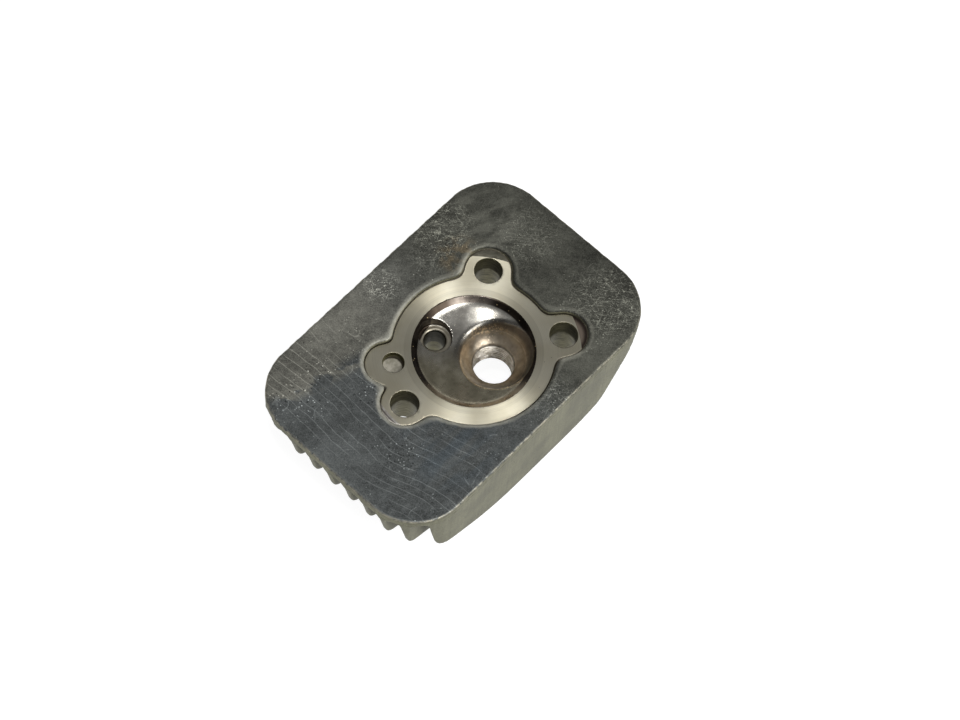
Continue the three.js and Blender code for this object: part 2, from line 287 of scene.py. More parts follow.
def dome_field(x, y, z):
    """The chamber up to just under its mouth, with a collar that lies inside the gasket face."""
    across = distance_to(x, y, BORE)
    shell = round_common(across - DOME_RADIUS, DOME_BOTTOM - z, 3.0)
    collar = np.maximum(across - FACE_STEP_RADIUS, RING_BOTTOM - UNDERCUT / 2 - z)
    body = np.maximum(np.minimum(shell, collar), z - FACE + MOUTH_EDGE)
    body = np.maximum(body, -chamber(x, y, z))
    body = np.maximum(body, -decompressor_passage(x, y, z))
    return np.maximum(body, -plug_hole(x, y, z))


# ---- fins and bosses ----

CROWN_FLAT = (-8.0, 14.0)
CROWN_RADIUS = 60.0
CROWN_ANGLE = math.radians(23)
LEFT_SLANT = math.radians(12)
LEFT_CORNER_SLANT = math.radians(24)
RIGHT_SLANT = math.radians(30.6)
RIGHT_SETBACK = 2.8
FIN_COUNT = 11
FIRST_CORNER_FIN = 9
FIN_THICKNESS = (1.8, 2.8)
OUTER_FIN_THICKNESS = (2.8, 3.2)
STUD_COLUMN_RADIUS = 8.6
PLUG_BOSS_RADIUS = 11.0
PLUG_WELL_RADIUS = 14.0
DECOMPRESSOR_BOSS_RADIUS = 7.5
DECOMPRESSOR_WELL_RADIUS = 11.0
STUD_WELL_RADIUS = 8.9
HIDDEN = 0.05
FIN_END_ROUND, CROWN_ROUND = 1.0, 2.4


def crown(x, z):
    """Distance below the curve that the fin tips follow: flat, then an arc, then a slope, on each side."""
    run = np.maximum(CROWN_FLAT[0] - x, x - CROWN_FLAT[1])
    drop = CROWN_RADIUS - z
    angle = np.arctan2(run, drop)
    arc = np.hypot(run, drop) - CROWN_RADIUS
    slope = run * math.sin(CROWN_ANGLE) + drop * math.cos(CROWN_ANGLE) - CROWN_RADIUS
    return np.where(run < 0, -z, np.where(angle < CROWN_ANGLE, arc, slope))


def plate_reach(y):
    """Half of the plate's length at one place across its width."""
    into_corner = max(abs(y) - (HALF_WIDTH - CORNER_RADIUS), 0.0)
    return HALF_LENGTH - CORNER_RADIUS + math.sqrt(CORNER_RADIUS ** 2 - into_corner ** 2)


def fin_nodes(number):
    return sorted(name for name in frame["nodes"] if name.startswith(f"fin_{number:02d}"))


def fin_centre(number):
    low, high = zip(*(node_box(name) for name in fin_nodes(number)))
    outer_edges = min(corner[1] for corner in low), max(corner[1] for corner in high)
    return sum(outer_edges) / 2


def side_profile(x, z, reach, left_slant):
    """A fin from the side: slanted ends, the crown along its tips and soft corners between them."""
    fall = PLATE_BOTTOM - z
    left = (-reach + math.tan(left_slant) * fall - x) * math.cos(left_slant)
    right = (x - reach + RIGHT_SETBACK + math.tan(RIGHT_SLANT) * fall) * math.cos(RIGHT_SLANT)
    ends = -smooth_min(-left, -right, FIN_END_ROUND)
    return -smooth_min(-crown(x, z), -ends, CROWN_ROUND)


def columns(x, y, z):
    """The bosses and the land that the fins run into."""
    solids = [np.maximum(lobed_outline(x, y) - UNDERCUT, RING_BOTTOM - UNDERCUT - z)]
    solids.append(np.maximum(distance_to(x, y, BORE) - DOME_RADIUS, DOME_BOTTOM - z))
    solids.append(np.maximum(distance_to(x, y, PLUG) - PLUG_BOSS_RADIUS, PLUG_SEAT - z))
    solids.append(np.maximum(distance_to(x, y, DECOMPRESSOR) - DECOMPRESSOR_BOSS_RADIUS,
                             DECOMPRESSOR_BOTTOM - z))
    solids += [np.maximum(distance_to(x, y, stud) - STUD_COLUMN_RADIUS, NUT_SEAT - z) for stud in STUDS]
    return np.minimum.reduce([np.broadcast_to(solid, np.broadcast(x, y, z).shape) for solid in solids])


def wells(x, y, z):
    """Room for spanners and for the decompressor valve, open towards the fin tips."""
    pits = [np.maximum(distance_to(x, y, PLUG) - PLUG_WELL_RADIUS, z - PLUG_SEAT),
            np.maximum(distance_to(x, y, DECOMPRESSOR) - DECOMPRESSOR_WELL_RADIUS, z - DECOMPRESSOR_BOTTOM)]
    pits += [np.maximum(distance_to(x, y, stud) - STUD_WELL_RADIUS, z - NUT_SEAT) for stud in STUDS]
    return np.minimum.reduce(pits)


FIN_CLEARANCE = 0.7
PLUG_CLEARANCE = 1.2


def bores(x, y, z):
    """The holes and the chamber, with the little that keeps a fin's root inside the wall round them."""
    passages = (chamber, stud_holes, dowel_hole, decompressor_passage)
    open_ways = [passage(x, y, z) - FIN_CLEARANCE for passage in passages]
    open_ways.append(distance_to(x, y, PLUG) - THREAD_CREST_RADIUS - PLUG_CLEARANCE)
    return np.minimum.reduce([np.broadcast_to(way, np.broadcast(x, y, z).shape) for way in open_ways])


FIN_EDGE_ROUND = 0.75
PLATE_FILLET, COLUMN_FILLET = 2.0, 1.4
FILLET_SPREAD = 2.2
FIN_TOP_OVERLAP = 0.4
FIN_INSET, FILLET_INSET = 0.12, 0.2
WELL_ROUND = 0.5


def fin_field(number):
    """A tapered fin with fillets to the plate and to the bosses, cut away at the wells and holes."""
    centre = fin_centre(number)
    outermost = number in (1, FIN_COUNT)
    tip, root = OUTER_FIN_THICKNESS if outermost else FIN_THICKNESS
    reach = plate_reach(abs(centre) - root / 2)
    slant = LEFT_CORNER_SLANT if number >= FIRST_CORNER_FIN else LEFT_SLANT

    def field(x, y, z):
        half = (tip + (root - tip) * z / PLATE_BOTTOM) / 2
        cheeks = np.abs(y - centre) - half
        blade = round_common(cheeks, side_profile(x, z, reach, slant), FIN_EDGE_ROUND)
        plate = np.maximum(plate_outline(x, y) + FILLET_INSET, PLATE_BOTTOM + HIDDEN - z)
        body = round_join(blade, plate, PLATE_FILLET)
        body = round_join(body, columns(x, y, z) + HIDDEN, COLUMN_FILLET)
        body = np.maximum(body, blade - FILLET_SPREAD)
        body = np.maximum(body, plate_outline(x, y) + FIN_INSET)
        body = np.maximum(body, z - PLATE_BOTTOM - FIN_TOP_OVERLAP)
        body = -smooth_min(-body, wells(x, y, z), WELL_ROUND)
        return np.maximum(body, -bores(x, y, z))

    return field, centre


BOSS_DRAFT, BOSS_EDGE_ROUND = 0.02, 0.7
BOSS_OVERLAP, BOSS_BORE_SETBACK = 0.4, 0.05


def boss_field(centre, radius, bottom, top, passage):
    """A round boss that runs up into the piece above it, with its passage a hair wider than that piece's."""
    def field(x, y, z):
        draft = BOSS_DRAFT * (z - bottom)
        body = round_common(distance_to(x, y, centre) - radius - draft, bottom - z, BOSS_EDGE_ROUND)
        body = np.maximum(body, z - top - BOSS_OVERLAP)
        return np.maximum(body, BOSS_BORE_SETBACK - passage(x, y, z))

    return field


# Grid cells, in millimetres: finer where an edge or a thread has to be crisp.
FACE_CELL, THREAD_CELL, PLATE_CELL, BOWL_CELL, FIN_CELL = 0.17, 0.2, 0.24, 0.25, 0.35
# Room from the bore axis to the sides of the box round the gasket face, and round the chamber.
LAND_LOW, LAND_HIGH = (39, 29), (34, 28)
BOWL_REACH = 23.4
FIN_ROOM = 4.6


def build_bosses():
    """The plug's, the decompressor's and the three stud bosses, each from its field."""
    bosses = [("spark_plug_boss", PLUG, PLUG_BOSS_RADIUS, PLUG_SEAT, DOME_BOTTOM, plug_hole, THREAD_CELL),
              ("decompressor_boss", DECOMPRESSOR, DECOMPRESSOR_BOSS_RADIUS, DECOMPRESSOR_BOTTOM,
               DOME_BOTTOM, decompressor_passage, BOWL_CELL)]
    for number, stud in enumerate(STUDS, 1):
        bosses.append((f"stud_boss_{number}", stud, STUD_COLUMN_RADIUS, NUT_SEAT, RING_BOTTOM - UNDERCUT,
                       stud_holes, BOWL_CELL))
    pieces = {}
    for node, centre, radius, bottom, top, passage, step in bosses:
        name = node + "_cast"
        reach = radius + 1.2
        pieces[name] = mesh_of(name, boss_field(centre, radius, bottom, top, passage),
                               (centre[0] - reach, centre[1] - reach, bottom - 0.8),
                               (centre[0] + reach, centre[1] + reach, top + 1.2), step,
                               adaptivity=0.02)
        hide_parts(node)
    return pieces


def build_fins():
    pieces = {}
    for number in range(1, FIN_COUNT + 1):
        field, centre = fin_field(number)
        name = f"cooling_fin_{number:02d}"
        pieces[name] = mesh_of(name, field, (-HALF_LENGTH - 0.7, centre - FIN_ROOM, -0.7),
                               (HALF_LENGTH + 0.7, centre + FIN_ROOM, PLATE_BOTTOM + 1.1), FIN_CELL,
                               adaptivity=0.03)
        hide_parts(*fin_nodes(number))
    return pieces


def build_shapes():
    """Every visual piece by name. Each box leaves a little room round the shape in it."""
    margin = 0.8
    pieces = {}
    pieces["plate"] = mesh_of(
        "plate", plate_field, (-HALF_LENGTH - margin, -HALF_WIDTH - margin, PLATE_BOTTOM - margin),
        (HALF_LENGTH + margin, HALF_WIDTH + margin, PLATE_TOP + margin), PLATE_CELL, adaptivity=0.02)
    pieces["gasket_face"] = mesh_of(
        "gasket_face", land_field, (BORE[0] - LAND_LOW[0], BORE[1] - LAND_LOW[1], RING_BOTTOM - 1.6),
        (BORE[0] + LAND_HIGH[0], BORE[1] + LAND_HIGH[1], FACE + 1.6), FACE_CELL,
        adaptivity=0.006, sharp_angle=22)
    pieces["chamber_bowl"] = mesh_of(
        "chamber_bowl", dome_field, (BORE[0] - BOWL_REACH, BORE[1] - BOWL_REACH, DOME_BOTTOM - 0.9),
        (BORE[0] + BOWL_REACH, BORE[1] + BOWL_REACH, FACE + 0.6), BOWL_CELL)
    return pieces | build_bosses() | build_fins()


# ---- materials, written as arithmetic on sockets, in millimetres ----

class Value:
    """A number in a node tree."""

    def __init__(self, material, socket):
        self.material, self.socket = material, socket

    def __add__(self, other):
        return self.material.math("ADD", self, other)

    def __sub__(self, other):
        return self.material.math("SUBTRACT", self, other)

    def __rsub__(self, other):
        return self.material.math("SUBTRACT", other, self)

    def __mul__(self, other):
        return self.material.math("MULTIPLY", self, other)

    def __truediv__(self, other):
        return self.material.math("DIVIDE", self, other)

    def __abs__(self):
        return self.material.math("ABSOLUTE", self)

    __radd__ = __add__
    __rmul__ = __mul__


class Material:
    """A material whose textures lie in the head's own frame."""

    def __init__(self, name):
        self.data = bpy.data.materials.new(name)
        self.data.use_nodes = True
        self.tree = self.data.node_tree
        self.tree.nodes.clear()
        local = self.add("TexCoord")
        scaled = self.add("VectorMath", {"Vector": local.outputs["Object"], "Scale": 1 / MM},
                          operation="SCALE")
        self.place = scaled.outputs["Vector"]
        self.x, self.y, self.z = self.split(self.place)
        self.flat = self.join(self.x, self.y, 0.0)
        self.facing = self.split(local.outputs["Normal"])
        self.up = self.facing[2]

    def add(self, kind, inputs=None, **settings):
        node = self.tree.nodes.new("ShaderNode" + kind)
        for name, value in settings.items():
            setattr(node, name, value)
        for name, value in (inputs or {}).items():
            self.feed(node.inputs[name], value)
        return node

    def feed(self, socket, value):
        if isinstance(value, Value):
            value = value.socket
        if isinstance(value, bpy.types.NodeSocket):
            self.tree.links.new(value, socket)
        else:
            socket.default_value = value

    def math(self, operation, *values):
        """Any operation of the Math node on sockets, values and plain numbers."""
        node = self.add("Math", operation=operation)
        for socket, value in zip(node.inputs, values):
            self.feed(socket, value)
        return Value(self, node.outputs[0])

    def split(self, vector):
        return [Value(self, socket) for socket in self.add("SeparateXYZ", {"Vector": vector}).outputs]

    def join(self, x, y, z):
        return self.add("CombineXYZ", {"X": x, "Y": y, "Z": z}).outputs[0]

    def distance(self, point):
        node = self.add("VectorMath", operation="DISTANCE")
        self.feed(node.inputs[0], self.flat)
        self.feed(node.inputs[1], (point[0], point[1], 0.0))
        return Value(self, node.outputs["Value"])

    def ramp(self, value, low, high):
        """0 below low and 1 above high, with a soft change between."""
        node = self.add("MapRange", {"Value": value, "From Min": low, "From Max": high},
                        interpolation_type="SMOOTHSTEP")
        return Value(self, node.outputs["Result"])

    def near(self, point, radius):
        """1 about a point and 0 beyond the radius."""
        return 1 - self.ramp(self.distance(point), 0.35 * radius, radius)

    def patches(self, spots):
        """Sum of soft round patches, each given as a point, a radius and a weight."""
        return sum(weight * self.near(point, radius) for point, radius, weight in spots)

    def noise(self, size, detail=3.0, turn=0.0, seed=0.0, place=None):
        """Smooth noise about 0.5; size is the length of its features, along each axis or along all."""
        size = size if isinstance(size, tuple) else (size, size, size)
        turned = self.add("Mapping", {"Vector": place or self.place,
                                      "Location": (17 * seed, 31 * seed, 13 * seed),
                                      "Rotation": (0, 0, math.radians(turn)), "Scale": size},
                          vector_type="TEXTURE")
        texture = self.add("TexNoise", {"Vector": turned.outputs[0], "Scale": 1.0, "Detail": detail})
        return Value(self, texture.outputs["Fac"])

    def rings(self, radius, size, seed=0.0):
        """Noise that changes with the radius and hardly along the circle."""
        drift = self.noise(24.0, 1.0, seed=seed)
        return self.noise(1.0, 3.0, seed=seed, place=self.join(radius / size, drift * 2, 0.0))

    def enclosure(self, reach):
        """1 in the open and 0 deep in a gap about as wide as the reach."""
        node = self.add("AmbientOcclusion", {"Distance": reach * MM}, samples=6)
        return Value(self, node.outputs["AO"])

    def scratches(self, length, width, turn, seed, threshold):
        """Straight streaks of one length, width and direction."""
        streak = self.noise((length, width, length), 1.0, turn, seed)
        return self.ramp(streak, threshold, threshold + 0.04)

    def specks(self, size, radius, share, seed=0.0):
        """Round specks in a share of the cells of an irregular grid."""
        moved = self.add("Mapping", {"Vector": self.place, "Location": (7 * seed, 11 * seed, 5 * seed),
                                     "Scale": (size, size, size)}, vector_type="TEXTURE")
        cells = self.add("TexVoronoi", {"Vector": moved.outputs[0], "Scale": 1.0})
        chance = self.split(cells.outputs["Color"])[0]
        spot = 1 - self.ramp(cells.outputs["Distance"], 0.5 * radius / size, radius / size)
        return spot * (1 - self.ramp(chance, share, share + 0.02))

    def mix(self, share, first, second):
        """The first colour where the share is 0 and the second where it is 1."""
        node = self.add("Mix", data_type="RGBA")
        self.feed(node.inputs["Factor"], share)
        colours = [socket for socket in node.inputs if socket.type == "RGBA"]
        self.feed(colours[0], first)
        self.feed(colours[1], second)
        return [socket for socket in node.outputs if socket.type == "RGBA"][0]

    def lighten(self, colour, amount):
        """Multiplies a colour by a number that is 1 where nothing changes."""
        node = self.add("VectorMath", {"Vector": colour, "Scale": amount}, operation="SCALE")
        return node.outputs["Vector"]

    def finish(self, colour, roughness, metallic, height, depth, anisotropy=0.0, tangent=None):
        """Height runs from 0 to 1 and depth is what 1 stands for."""
        bump = self.add("Bump", {"Strength": 1.0, "Distance": depth * MM, "Height": height})
        shader = self.add("BsdfPrincipled", {"Base Color": colour, "Roughness": roughness,
                                             "Metallic": metallic, "Normal": bump.outputs["Normal"],
                                             "Anisotropic": anisotropy})
        if tangent:
            self.feed(shader.inputs["Tangent"], tangent)
        output = self.add("OutputMaterial")
        self.tree.links.new(shader.outputs["BSDF"], output.inputs["Surface"])
        return self.data


def tone(red, green, blue):
    """A colour from display values between 0 and 255."""
    linear = [((c / 255 + 0.055) / 1.055) ** 2.4 if c > 10 else c / 255 / 12.92 for c in (red, green, blue)]
    return (*linear, 1.0)


def rounded_rectangle(m):
    """Distance outside the plate's outline."""
    qx = abs(m.x) - (HALF_LENGTH - CORNER_RADIUS)
    qy = abs(m.y) - (HALF_WIDTH - CORNER_RADIUS)
    corner = m.join(m.math("MAXIMUM", qx, 0.0), m.math("MAXIMUM", qy, 0.0), 0.0)
    length = Value(m, m.add("VectorMath", {"Vector": corner}, operation="LENGTH").outputs["Value"])
    return length + m.math("MINIMUM", m.math("MAXIMUM", qx, qy), 0.0) - CORNER_RADIUS


NODE_BLEND = 1.5


def lobes(m):
    """Distance outside the gasket face. The Math node's cubic blend is NODE_BLEND times as wide as the
    quadratic one that shapes the mesh."""
    shape = m.distance(BORE) - RING_RADIUS
    for stud in STUDS:
        shape = m.math("SMOOTH_MIN", shape, m.distance(stud) - STUD_LOBE_RADIUS, NODE_BLEND * STUD_LOBE_BLEND)
    return m.math("SMOOTH_MIN", shape, m.distance(DOWEL_LOBE) - DOWEL_LOBE_RADIUS,
                  NODE_BLEND * DOWEL_LOBE_BLEND)


def cast_skin(m):
    """Colour, roughness and height of a cast surface, with painted shade where it is enclosed."""
    clouds = m.ramp(m.noise(8.0, 5, seed=1), 0.3, 0.7)
    drag = m.ramp(m.noise((1.3, 1.3, 18.0), 3, seed=2), 0.35, 0.75)
    grain = m.noise(0.45, 4, seed=3)
    pits = m.specks(1.7, 0.30, 0.35, seed=4)
    chalk = m.specks(2.3, 0.26, 0.2, seed=5)
    colour = m.mix(clouds, tone(94, 93, 76), tone(115, 114, 96))
    # painted shade: the skin is drawn half as light deep in gaps, between the fins and in corners
    open_sky = m.ramp(m.enclosure(7.0), 0.05, 0.85)
    colour = m.lighten(colour, 0.86 + 0.16 * drag + 1.1 * (grain - 0.5) - 0.4 * pits + 0.5 * chalk)
    colour = m.mix(open_sky, m.lighten(colour, 0.5), colour)
    tips = 1 - m.ramp(m.z + 1.6 * grain, 0.9, 2.2)
    colour = m.lighten(colour, 1 - 0.3 * tips)
    roughness = 0.58 + 0.25 * (grain - 0.5) + 0.1 * clouds
    height = 0.6 * grain + 0.25 * m.noise(2.2, 3, seed=6) + 0.1 * drag - 0.35 * pits
    return colour, roughness, height


def drilled_look(m):
    """Colour of a bored wall, with the marks of the drill."""
    marks = m.ramp(m.noise((3.0, 3.0, 0.24), 3, seed=55), 0.3, 0.7)
    return m.mix(marks, tone(56, 53, 33), tone(106, 102, 76))


def thread_look(m):
    """Bright crests and roots darkened with painted shade."""
    streaks = m.ramp(m.noise(1.4, 4, seed=66), 0.3, 0.7)
    colour = m.mix(streaks, tone(172, 164, 148), tone(224, 218, 208))
    # painted shade: the thread's roots are drawn darker than its crests
    root = m.ramp(m.distance(PLUG), THREAD_CREST_RADIUS + 0.1, THREAD_CREST_RADIUS + 0.8 * THREAD_DEPTH)
    return m.lighten(colour, 1 - 0.65 * root)


def inside(m, centre, radius, clear, fade):
    """1 within a hole and on its wall, fading to 0 between two distances from the wall."""
    return 1 - m.ramp(m.distance(centre), radius + clear, radius + fade)


def cast_material():
    m = Material("cast_aluminium")
    colour, roughness, height = cast_skin(m)
    threaded = inside(m, PLUG, THREAD_ROOT_RADIUS, 0.05, 0.25)
    drilled = inside(m, DECOMPRESSOR, VALVE_BORE_RADIUS, 0.05, 0.25)
    for stud in STUDS:
        drilled = m.math("MAXIMUM", drilled, inside(m, stud, STUD_HOLE_RADIUS, 0.07, 0.27))
    colour = m.mix(threaded, m.mix(drilled, colour, drilled_look(m)), thread_look(m))
    machined = m.math("MAXIMUM", threaded, drilled)
    roughness = roughness + machined * (0.36 - roughness)
    return m.finish(colour, roughness, 0.45 + 0.55 * machined, height * (1 - machined), 0.12)


FLOW_PITCH = 2.7
FLOW_START, FLOW_END = -56.0, -17.0


def flow_lines(m):
    """Pale wavy lines where the metal folded as it filled the mould, bending at the near edge."""
    bend = 5.0 * m.ramp(0 - m.y, 8.0, 34.0)
    wobble = 4.0 * m.noise(26.0, 1, seed=11) + 1.2 * m.noise(7.0, 1, seed=12)
    across = (m.x - bend + wobble) / FLOW_PITCH
    offset = abs(m.math("FRACT", across) - 0.5) * FLOW_PITCH
    lines = 1 - m.ramp(offset, 0.03, 0.2)
    stretch = m.ramp(m.x, FLOW_START, FLOW_START + 5) * (1 - m.ramp(m.x, FLOW_END - 9, FLOW_END))
    patchy = m.ramp(m.noise((5.0, 16.0, 5.0), 2, seed=13), 0.34, 0.56)
    return lines * stretch * patchy


def hair_scratches(m, size, width, share, seed):
    """Fine curved scratches: where smooth noise passes its middle, kept in places only."""
    wander = m.noise(size, 1.0, seed=seed)
    line = 1 - m.ramp(abs(wander - 0.5), 0.3 * width / size, width / size)
    return line * m.ramp(m.noise(size * 0.6, 2, seed=seed + 1), 0.62 - share, 0.68 - share)


# Length in millimetres and direction in degrees.
SCRATCH_KINDS = ((9.0, 20), (7.0, 128), (4.0, 65), (5.0, -35), (3.0, 100))


def wear_marks(m, dense):
    """Fine scratches, straight and curved, thicker in the worn places."""
    marks = 0.6 * hair_scratches(m, 11.0, 0.09, 0.04, 31)
    marks = marks + dense * (hair_scratches(m, 3.5, 0.08, 0.14, 35) + hair_scratches(m, 2.2, 0.07, 0.12, 37))
    for number, (length, turn) in enumerate(SCRATCH_KINDS):
        marks = marks + (0.35 + 0.9 * dense) * m.scratches(length, 0.11, turn, 41 + number, 0.68)
    return marks


# Worn and shaded places on the plate: a point, how far it reaches and how strong it is.
SCRATCHED = (((46, -24), 17.0, 1.0), ((30, 33), 14.0, 1.0), ((0, 32), 8.0, 1.0), ((8, -33), 10.0, 1.0),
             ((46, 10), 14.0, 0.6), ((20, 28), 10.0, 0.6))
SPECKLED = (((-48, 24), 9.0, 1.0), ((-36, 25), 7.0, 1.0), ((-44, 17), 6.0, 1.0), ((-30, 8), 7.0, 1.0),
            ((-38, -14), 9.0, 1.0))
SHADED = (((30, -31), 13.0, 0.25), ((-53, 0), 12.0, 0.14), ((54, -12), 17.0, -0.2))


def plate_colour(m, smears):
    """Blue-grey skin, paler beyond a fold in the metal, with a painted bluish reflection and one brown stain.
    """
    far = m.ramp(m.x, -16.0, 24.0)
    fold = m.ramp(m.y + 0.284 * m.x - 11.6 + 4.0 * (smears - 0.5), -2.0, 2.5) * (1 - far)
    colour = m.mix(far, tone(95, 98, 97), tone(92, 92, 84))
    colour = m.mix(fold, colour, tone(128, 127, 118))
    # painted reflection: a bluish sheen drawn into the colour near one corner
    painted_bluish_reflection = m.near((-26, -22), 20.0) * m.ramp(m.noise((30.0, 6.0, 6.0), 2, seed=27), 0.45, 0.62)
    colour = m.mix(0.5 * painted_bluish_reflection, colour, tone(80, 90, 97))
    stain = m.near((25, 21.4), 9.0) * m.ramp(m.noise(3.0, 3, seed=24), 0.42, 0.6)
    return m.mix(0.4 * stain, colour, tone(126, 108, 78))


def plate_material():
    m = Material("worn_plate")
    rim = 0 - rounded_rectangle(m)
    pocket = lobes(m)
    clouds = m.ramp(m.noise(16.0, 3, seed=21), 0.3, 0.7)
    mottle = m.ramp(m.noise((1.6, 2.4, 1.6), 6, turn=30, seed=22), 0.34, 0.66)
    smears = m.ramp(m.noise((7.0, 4.0, 4.0), 7, turn=-35, seed=26), 0.44, 0.57)
    grain = m.noise(0.38, 3, seed=23)
    cloudy = m.near((41, 24), 18.0) * m.ramp(m.noise((7.0, 3.0, 3.0), 5, turn=-20, seed=25), 0.42, 0.58)
    colour = plate_colour(m, smears)

    dense = m.patches(SCRATCHED)
    marks = wear_marks(m, dense)
    worn = m.patches(SPECKLED) + 0.6 * dense + 0.5 * m.ramp(m.noise(8.0, 4, seed=49), 0.52, 0.62)
    specks = m.specks(2.6, 0.24, 0.2, seed=43) + worn * m.specks(0.9, 0.26, 0.4, seed=44)
    pits = m.specks(1.9, 0.26, 0.2, seed=45) + worn * m.specks(1.1, 0.34, 0.3, seed=46)
    flow = flow_lines(m)
    pale = 0.8 * flow + 1.2 * marks + 3.0 * specks + 0.5 * cloudy

    # painted light and shade: the shoulder round the pocket is a worn, paler band all round, and is also
    # drawn lighter and less metallic where it leans one way and darker where it leans the other
    lip = 1 - m.ramp(pocket + 0.5 * mottle, 1.3, 2.2)
    lean = m.facing[0]
    shade = 0.62 + 0.18 * mottle + 0.24 * clouds + 0.09 * smears + 1.4 * (grain - 0.5) - 0.7 * pits
    shade = shade + m.patches(SHADED) + lip * (0.25 + 1.2 * lean)
    colour = m.lighten(colour, m.math("MAXIMUM", shade + pale, 0.3))
    painted_lit_lip = lip * m.ramp(lean, -0.1, 0.15)
    colour = m.mix(0.8 * painted_lit_lip, colour, m.mix(mottle, tone(126, 124, 112), tone(150, 148, 136)))

    border = 1 - m.ramp(rim + 0.9 * grain, 0.7, 1.3)
    chipped = m.ramp(m.noise(1.6, 6, seed=47), 0.34, 0.62)
    colour = m.lighten(colour, 1 - 0.25 * border * (1 - chipped))
    colour = m.mix(0.7 * border * chipped, colour, tone(160, 154, 136))

    skin, skin_roughness, skin_height = cast_skin(m)
    # painted light: the plate's side walls take the cast skin drawn 1.2 times as light
    side = 1 - m.ramp(m.up, 0.2, 0.5)
    colour = m.mix(side, colour, m.lighten(skin, 1.2))
    roughness = 0.42 + 0.06 * mottle + 0.08 * clouds + 0.12 * lip
    roughness = roughness + side * (skin_roughness - roughness)
    height = 0.2 * mottle + 0.4 * grain - 0.3 * marks - 0.5 * pits + 0.25 * flow
    height = height + side * (skin_height * 2 - height)
    return m.finish(colour, roughness, 0.8 - 0.6 * painted_lit_lip, height, 0.045)


def turned_look(m, radius):
    """Colour, roughness and height of the lathe-turned face."""
    coarse = m.rings(radius, 1.1, seed=51)
    fine = m.rings(radius, 0.16, seed=52)
    haze = m.ramp(m.noise(11.0, 3, seed=53), 0.3, 0.7)
    pits = m.specks(2.6, 0.2, 0.16, seed=54)
    inner = 1 - m.ramp(radius, FACE_STEP_RADIUS - 0.1, FACE_STEP_RADIUS + 0.1)
    colour = m.mix(haze, tone(230, 222, 196), tone(240, 234, 212))
    marks = 0.3 * (fine - 0.5) + 0.1 * (coarse - 0.5) - 0.45 * pits
    colour = m.lighten(colour, 0.96 + marks - 0.12 * inner)
    return colour, 0.42 + 0.05 * haze + 0.03 * inner, 0.4 * fine + 0.15 * coarse - 0.5 * pits


def outward(m):
    """Unit vector away from the bore axis: across the grooves of a turned face."""
    spoke = m.join(m.x - BORE[0], m.y - BORE[1], 0.0)
    return m.add("VectorMath", {"Vector": spoke}, operation="NORMALIZE").outputs["Vector"]


def raw_look(m, past, outline):
    """Colour of the cast skin the lathe left at the far end of each lobe: a painted silver reflection
    with a painted shadow line at the left stud, dull at the upper one, tan at the right one that darkens
    outwards as painted shade."""
    blotches = m.ramp(m.noise(1.6, 4, seed=57), 0.3, 0.7)
    upper = m.ramp(m.y, -5.0, 5.0)
    # painted reflection: the left lobe's raw skin is drawn bright silver, crossed by a painted shadow line
    painted_silver_reflection = m.mix(blotches, tone(206, 200, 192), tone(240, 236, 228))
    line = 1 - m.ramp(abs(past - 0.9), 0.1, 0.35)
    painted_silver_reflection = m.mix(0.7 * line, painted_silver_reflection, tone(96, 84, 82))
    dull = m.mix(blotches, tone(98, 96, 85), tone(124, 121, 108))
    dull = m.lighten(dull, 1 - 0.35 * m.ramp(past + blotches, 1.4, 2.2))
    # painted shade: the right lobe's tan darkens outwards
    tan = m.mix(m.ramp(outline, -2.2, -0.7), tone(186, 170, 154), tone(84, 73, 66))
    return m.mix(m.ramp(m.x, -10.0, 10.0), painted_silver_reflection, m.mix(upper, tan, dull))


def bored_walls(m):
    """1 on the walls of the stud holes, the dowel hole and the pocket."""
    wall = 1 - m.ramp(m.up, 0.3, 0.7)
    for hole, radius in [(stud, STUD_HOLE_RADIUS) for stud in STUDS] + [(DOWEL, DOWEL_HOLE_RADIUS)]:
        wall = m.math("MAXIMUM", wall, inside(m, hole, radius, 0.08, 0.16))
    return wall


def dowel_floor(m):
    """Where the dowel hole's floor is, and its colour: bright metal with a painted shadow at one side."""
    low = 1 - m.ramp(m.z, FACE - 1.5, FACE - 1.1)
    floor = inside(m, DOWEL, DOWEL_HOLE_RADIUS, -0.3, 0.0) * low
    # painted shadow: a dark crescent on one side of the floor
    painted_shadow = m.ramp(m.distance((DOWEL[0] - 0.9, DOWEL[1] - 0.2)), 2.9, 3.5)
    metal = m.mix(m.ramp(m.noise(1.6, 3, seed=59), 0.35, 0.65), tone(158, 154, 139), tone(194, 189, 175))
    return floor, m.mix(painted_shadow, metal, tone(60, 56, 46))


